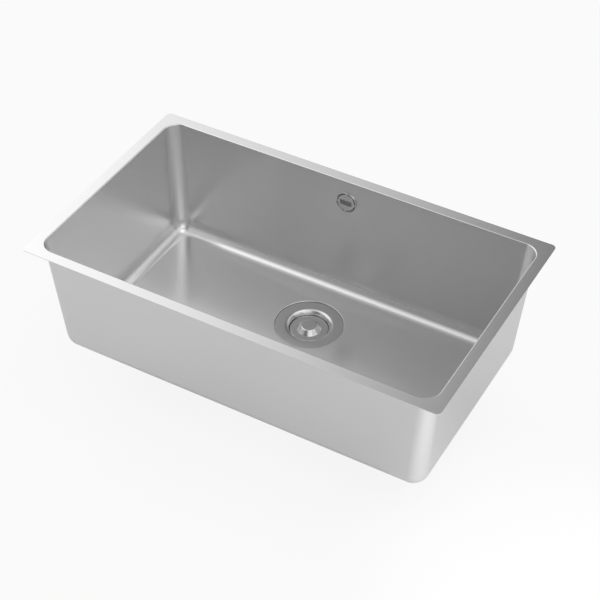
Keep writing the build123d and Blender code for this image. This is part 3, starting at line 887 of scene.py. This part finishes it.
def open_group(name, sizes, gives):
    """An empty node group that takes a place and named sizes."""
    tree = bpy.data.node_groups.new(name, "ShaderNodeTree")
    tree.interface.new_socket("Place", in_out="INPUT", socket_type="NodeSocketVector")
    for label, value in sizes.items():
        socket = tree.interface.new_socket(label, in_out="INPUT", socket_type="NodeSocketFloat")
        socket.default_value = value
    for label in gives:
        tree.interface.new_socket(label, in_out="OUTPUT", socket_type="NodeSocketFloat")
    print("group", name, "gives", gives)
    return tree, tree.nodes.new("NodeGroupInput").outputs, tree.nodes.new("NodeGroupOutput").inputs


def use_group(tree, name, sockets):
    """Place a group that was built before in a finish."""
    return put(tree, "Group", sockets, node_tree=bpy.data.node_groups[name]).outputs


print("groups so far", len(bpy.data.node_groups))

# %% [markdown]
# ## Effects that finishes share
# Satin steel is ground with a belt, which leaves fine lines that run level all round the bowl: along
# the length on the floor and the long walls, along the depth on the short ones. A noise stretched a
# hundred times in one direction draws them, and the normal tells which way a wall faces. Turned parts
# carry the same lines in rings, so there the noise is read by radius. Moulded parts have a fine skin,
# and every part has clouds, the wide and faint changes that keep it from looking like paint.

# %% Level belt lines
tree, takes, gives = open_group("belt_lines", {"Length": 0.03, "Width": 0.0003}, ["Lines"])
facing = parts_of(tree, put(tree, "NewGeometry").outputs["Normal"])
spot = parts_of(tree, takes["Place"])
side_wall = between(tree, math_of(tree, "ABSOLUTE", facing["X"]), 0, 1, start=0.6, end=0.8)
along = put(tree, "Mix", {0: side_wall, 2: spot["X"], 3: spot["Y"]}).outputs[0]
across = put(tree, "Mix", {0: side_wall, 2: spot["Y"], 3: spot["X"]}).outputs[0]
run = math_of(tree, "DIVIDE", along, takes["Length"])
row = math_of(tree, "DIVIDE", across, takes["Width"])
rise = math_of(tree, "DIVIDE", spot["Z"], takes["Width"])
grid = put(tree, "CombineXYZ", {0: run, 1: row, 2: rise}).outputs[0]
tree.links.new(noise_of(tree, grid, detail=3.0, roughness=0.6), gives["Lines"])

# %% Turned rings
tree, takes, gives = open_group("turned_rings", {"Width": 0.0003}, ["Rings"])
spot = parts_of(tree, takes["Place"])
level_spot = put(tree, "CombineXYZ", {0: spot["X"], 1: spot["Y"]}).outputs[0]
radius = put(tree, "VectorMath", {0: level_spot}, operation="LENGTH").outputs["Value"]
run = math_of(tree, "DIVIDE", radius, takes["Width"])
rise = math_of(tree, "DIVIDE", spot["Z"], takes["Width"])
drift = put(tree, "VectorMath", {0: level_spot, 1: (40, 40, 40)}, operation="MULTIPLY").outputs[0]
grid = put(tree, "CombineXYZ", {0: run, 1: rise, 2: parts_of(tree, drift)["X"]}).outputs[0]
tree.links.new(noise_of(tree, grid, detail=2.0, roughness=0.55), gives["Rings"])

# %% Clouds
tree, takes, gives = open_group("clouds", {"Size": 0.05}, ["Cloud"])
grid = put(tree, "VectorMath", {0: takes["Place"], 1: takes["Size"]}, operation="DIVIDE").outputs[0]
noise = noise_of(tree, grid, detail=4.0, roughness=0.5)
tree.links.new(between(tree, noise, 0, 1, start=0.3, end=0.7), gives["Cloud"])

# %% Moulded skin
tree, takes, gives = open_group("moulded_skin", {"Size": 0.0006}, ["Skin", "Speckle"])
grid = put(tree, "VectorMath", {0: takes["Place"], 1: takes["Size"]}, operation="DIVIDE").outputs[0]
cells = put(tree, "TexVoronoi", {"Vector": grid, "Scale": 1.0, "Smoothness": 0.6},
            feature="SMOOTH_F1").outputs["Distance"]
noise = noise_of(tree, grid, detail=5.0, roughness=0.65, scale=0.6)
tree.links.new(math_of(tree, "ADD", cells, noise), gives["Skin"])
tree.links.new(noise, gives["Speckle"])

# %% [markdown]
# ## Finishes
# Each finish is one Principled shader. What is the same all over, such as metal or not, is set on its
# own socket, and what changes over the surface comes from the groups: a little in the colour, more in
# the roughness, and a very fine bump.

# %% Parts of a finish
finishes = {}


def new_finish(slot, metal):
    """A material with its shader, its tree and the place of each point on the piece."""
    material = bpy.data.materials.new(slot + "_finish")
    material.use_nodes = True
    shader = material.node_tree.nodes["Principled BSDF"]
    shader.inputs["Metallic"].default_value = metal
    place = put(material.node_tree, "TexCoord").outputs["Object"]
    finishes[slot] = material
    print("finish", slot)
    return material.node_tree, shader, place


def tinted(tree, mask, dark, light):
    """A colour that a mask of 0 to 1 leads from dark to light."""
    ramp = put(tree, "ValToRGB", {"Fac": mask})
    ramp.color_ramp.elements[0].color = (*dark, 1)
    ramp.color_ramp.elements[1].color = (*light, 1)
    return ramp.outputs["Color"]


def average(tree, first, second):
    """The middle of two masks."""
    return put(tree, "Mix", {0: 0.5, 2: first, 3: second}).outputs[0]


def cloud_of(tree, place, size):
    """Clouds of a size in metres."""
    return use_group(tree, "clouds", {"Place": place, "Size": size})["Cloud"]


def connect(tree, shader, colour, rough, height, depth):
    """Lead colour, roughness and a bump of a depth in metres into a shader."""
    tree.links.new(colour, shader.inputs["Base Color"])
    tree.links.new(rough, shader.inputs["Roughness"])
    bump = put(tree, "Bump", {"Height": height, "Strength": 0.6, "Distance": depth})
    tree.links.new(bump.outputs["Normal"], shader.inputs["Normal"])


print("finishes so far", len(finishes))

# %% [markdown]
# ### Satin steel of the bowl
# The bowl's grey comes from what it mirrors, spread by the roughness. The belt lines stretch every
# reflection across themselves, which the Anisotropic socket does along the tangent: the tangent
# points up on the walls and to the back on the level faces. The walls are ground a little rougher.

# %% Bowl steel
tree, shader, place = new_finish("bowl_steel", 1)
fine = use_group(tree, "belt_lines", {"Place": place, "Length": 0.03, "Width": 0.00022})["Lines"]
wide = use_group(tree, "belt_lines", {"Place": place, "Length": 0.25, "Width": 0.0015})["Lines"]
lines = average(tree, fine, wide)
cloud = cloud_of(tree, place, size=0.12)
facing = parts_of(tree, put(tree, "NewGeometry").outputs["Normal"])
wall = between(tree, math_of(tree, "ABSOLUTE", facing["Z"]), 0, 1, start=0.8, end=0.4)
level_face = between(tree, wall, low=1.0, high=0.0)
satin = between(tree, average(tree, lines, cloud), low=0.17, high=0.23)
satin = math_of(tree, "ADD", satin, between(tree, wall, low=0.0, high=0.12))
grey = tinted(tree, lines, dark=(0.76, 0.76, 0.763), light=(0.80, 0.80, 0.80))
connect(tree, shader, grey, satin, fine, depth=0.000002)
stretch = put(tree, "CombineXYZ", {1: level_face, 2: wall}).outputs[0]
tree.links.new(stretch, shader.inputs["Tangent"])
shader.inputs["Anisotropic"].default_value = 0.55

# %% [markdown]
# ### Turned and polished metal
# The waste and the overflow cover are brighter than the bowl and carry fine rings. A Mapping node
# puts the middle of the rings on each part's own axis: the cover's axis leans with the back wall, so
# the cover has a finish of its own. Screws and brass inserts share the same recipe.

# %% Turned metal
def ring_finish(slot, tints, roughness, centre, turn=(0, 0, 0), width=0.00025):
    """Metal with rings round an axis through a centre."""
    tree, shader, place = new_finish(slot, 1)
    centred = put(tree, "Mapping", {"Vector": place, "Location": centre, "Rotation": turn},
                  vector_type="TEXTURE").outputs[0]
    rings = use_group(tree, "turned_rings", {"Place": centred, "Width": width})["Rings"]
    mask = average(tree, rings, cloud_of(tree, place, size=0.02))
    rough = between(tree, mask, *roughness)
    connect(tree, shader, tinted(tree, rings, *tints), rough, rings, depth=0.000006)


polish = (0.60, 0.60, 0.605), (0.68, 0.68, 0.68)
bright = (0.52, 0.52, 0.53), (0.62, 0.62, 0.63)
brass = (0.62, 0.44, 0.18), (0.74, 0.56, 0.28)
ring_finish("waste_steel", polish, (0.12, 0.22), waste_place)
ring_finish("cover_steel", polish, (0.14, 0.24), cover_place, cover_turn)
ring_finish("fastener_steel", bright, (0.18, 0.3), waste_place, width=0.0004)
ring_finish("brass", brass, (0.18, 0.32), waste_place, width=0.0003)

# %% [markdown]
# ### Plastic, paint and rubber
# The hidden parts are moulded in black, with a skin that scatters the light. The white bush has the
# same skin, only finer, and so has the paint of the small plate. Rubber is duller, with a bloom that
# lightens it in clouds.

# %% Moulded finishes
def skin_finish(slot, tints, roughness, grain, depth, cloud_size=0.03):
    """Moulded surface: a fine skin in the bump, clouds in colour and roughness."""
    tree, shader, place = new_finish(slot, 0)
    skin = use_group(tree, "moulded_skin", {"Place": place, "Size": grain})
    mask = average(tree, skin["Speckle"], cloud_of(tree, place, cloud_size))
    rough = between(tree, mask, *roughness)
    connect(tree, shader, tinted(tree, mask, *tints), rough, skin["Skin"], depth)


black = (0.05, 0.05, 0.052), (0.09, 0.09, 0.093)
ivory = (0.62, 0.62, 0.60), (0.76, 0.76, 0.74)
paint = (0.19, 0.19, 0.192), (0.24, 0.24, 0.243)
soot = (0.014, 0.014, 0.014), (0.035, 0.035, 0.034)
slate = (0.03, 0.03, 0.031), (0.06, 0.06, 0.062)
dull = (0.55, 0.75)
skin_finish("moulding", black, (0.36, 0.55), grain=0.0007, depth=0.00004)
skin_finish("guide_plastic", ivory, (0.3, 0.45), grain=0.0005, depth=0.00002)
skin_finish("blank_plate", paint, (0.32, 0.46), grain=0.0003, depth=0.00001, cloud_size=0.01)
skin_finish("seal_rubber", soot, dull, grain=0.0005, depth=0.00003, cloud_size=0.015)
skin_finish("pad_rubber", slate, dull, grain=0.001, depth=0.00005)


# %% Finishes on every part
def coat(piece, finish):
    """Give a piece one finish and no other."""
    piece.data.materials.clear()
    piece.data.materials.append(finishes[finish])


for part in frame["record"]["subparts"]:
    coat(frame["nodes"][part["node"]], part["material_slot"])
for piece, slot in pieces:
    coat(piece, "cover_steel" if piece == cover else slot)
print("new pieces coated", len(pieces))

# %% [markdown]
# ## Studio
# The sink stands on white paper in a pale room. The camera sees the paper as almost plain white, with
# a trace of the sink's shadow. The metal sees the paper as it is lit, with a share of that white, or
# the outside of the bowl would glow. From below, the paper lets the camera through.

# %% Paper
paper_gap, white_to_camera, white_to_metal = 0.2 * mm, 0.88, 0.2
deselect()
bpy.ops.mesh.primitive_plane_add(size=12, location=(0, 0, cad_box[0][2] - paper_gap))
floor = bpy.context.object
floor.name = "studio_floor"
paper = bpy.data.materials.new("studio_paper")
paper.use_nodes = True
tree = paper.node_tree
shader = tree.nodes["Principled BSDF"]
fibre = cloud_of(tree, put(tree, "TexCoord").outputs["Object"], size=0.4)
pale = tinted(tree, fibre, dark=(0.8, 0.8, 0.8), light=(0.83, 0.83, 0.83))
tree.links.new(pale, shader.inputs["Base Color"])
tree.links.new(between(tree, fibre, low=0.85, high=0.95), shader.inputs["Roughness"])
rays = put(tree, "LightPath").outputs
mirrored = math_of(tree, "MAXIMUM", rays["Is Glossy Ray"], rays["Is Transmission Ray"])
mirrored = math_of(tree, "MULTIPLY", mirrored, white_to_metal)
share = put(tree, "Mix", {0: rays["Is Camera Ray"], 2: mirrored, 3: white_to_camera}).outputs[0]
white = put(tree, "Emission").outputs[0]
blend = put(tree, "MixShader", {0: share, 1: shader.outputs[0], 2: white}).outputs[0]
clear = put(tree, "BsdfTransparent").outputs[0]
behind = put(tree, "NewGeometry").outputs["Backfacing"]
below = math_of(tree, "MULTIPLY", behind, rays["Is Camera Ray"])
paper_face = put(tree, "MixShader", {0: below, 1: blend, 2: clear}).outputs[0]
tree.links.new(paper_face, tree.nodes["Material Output"].inputs["Surface"])
floor.data.materials.append(paper)
print("paper nodes", len(tree.nodes))

# %% [markdown]
# ### Room
# Metal only shows what is around it, so the room is what makes the steel. A bright wall on the left
# lights up the left of the rim, a dimmer one on the right fills the bowl, and a glow in the ceiling
# draws the bright line along the foot of the walls. They are soft patches in the world, so they can't
# stand in the way of a camera, which sees plain white instead.

# %% Room
scene = bpy.context.scene
scene.view_settings.view_transform = "Standard"
world = bpy.data.worlds.new("studio_room")
scene.world = world
world.use_nodes = True
tree = world.node_tree
aim = put(tree, "TexCoord").outputs["Generated"]


def towards(turn, height):
    """A direction in the room, by its turn from the back and its height, in degrees."""
    turn, height = math.radians(turn), math.radians(height)
    level = math.cos(height)
    return Vector((math.sin(turn) * level, math.cos(turn) * level, math.sin(height)))


def fade(middle, start, end, low, high):
    """Strength that goes from low to high as the view turns towards a direction."""
    near = put(tree, "VectorMath", {0: aim, 1: middle}, operation="DOT_PRODUCT").outputs["Value"]
    return between(tree, near, low, high, start, end)


glow_start, glow_end = math.cos(math.radians(38)), math.cos(math.radians(12))
left_wall = fade(towards(-90, 0), start=0.22, end=0.51, low=0.205, high=1.37)
right_wall = fade(towards(90, 0), start=-0.1, end=0.25, low=0.0, high=0.745)
front_shade = fade(towards(0, 0), start=-0.5, end=-0.1, low=0.38, high=1.0)
front_glow = fade(towards(180, 0), start=0.3, end=0.7, low=0.0, high=0.12)
ceiling = fade(towards(0, 90), start=glow_start, end=glow_end, low=0.0, high=0.58)
low_shade = fade(towards(0, 90), start=0.48, end=0.6, low=0.6, high=1.0)
walls = math_of(tree, "ADD", left_wall, right_wall)
walls = math_of(tree, "MULTIPLY", math_of(tree, "MULTIPLY", walls, front_shade), low_shade)
room = math_of(tree, "ADD", math_of(tree, "ADD", walls, ceiling), front_glow)
seen = put(tree, "LightPath").outputs["Is Camera Ray"]
strength = put(tree, "Mix", {0: seen, 2: room, 3: 1.0}).outputs[0]
tree.links.new(strength, tree.nodes["Background"].inputs["Strength"])
tree.nodes["Background"].inputs["Color"].default_value = (1, 1, 1, 1)
print("room nodes", len(tree.nodes))

# %% [markdown]
# ### Lamps
# A large lamp at the front right lights the paper, which the outside of the bowl mirrors. A narrow
# one makes a pool of light on the paper, which shows as a bright band on the front right corner.

# %% Lamps
def add_lamp(name, kind, place, target, **settings):
    """A lamp at a place, turned to a target."""
    bpy.ops.object.light_add(type=kind, location=place)
    lamp = bpy.context.object
    lamp.name = name
    lamp.rotation_euler = (place - target).to_track_quat("Z", "Y").to_euler()
    for key, value in settings.items():
        setattr(lamp.data, key, value)
    print(name, "power", round(lamp.data.energy, 2))
    return lamp


lamp_size, lamp_reach, lamp_glow = 1.7, 2.6, 0.74
soft_lamp = add_lamp("soft_lamp", "AREA", towards(138, 36) * lamp_reach, origin, size=lamp_size,
                     energy=lamp_glow * math.pi * lamp_size ** 2)
soft_lamp.visible_camera = False
pool_place = Vector((0.58, -0.22, cad_box[0][2]))
add_lamp("pool_lamp", "SPOT", Vector((1.0, -0.7, 0.95)), pool_place, energy=50,
         spot_size=math.radians(26), spot_blend=1.0, shadow_soft_size=0.05)

# %% [markdown]
# ### Camera
# The camera stands where the photograph was taken from: its place, turn and lens were fitted to the
# edges of the rim, the walls and the waste.

# %% Camera
camera_place, camera_turns = (0.9838866, -1.7363705, 1.6772112), (29.041, 48.0997, 0.5209)
turns = [Matrix.Rotation(math.radians(v), 4, axis) for v, axis in zip(camera_turns, "ZXZ")]
bpy.ops.object.camera_add()
camera = bpy.context.object
camera.matrix_world = Matrix.Translation(camera_place) @ turns[0] @ turns[1] @ turns[2]
camera.data.lens = 96.3653
camera.data.sensor_width = 36
scene.camera = camera
print("camera at", camera_place)
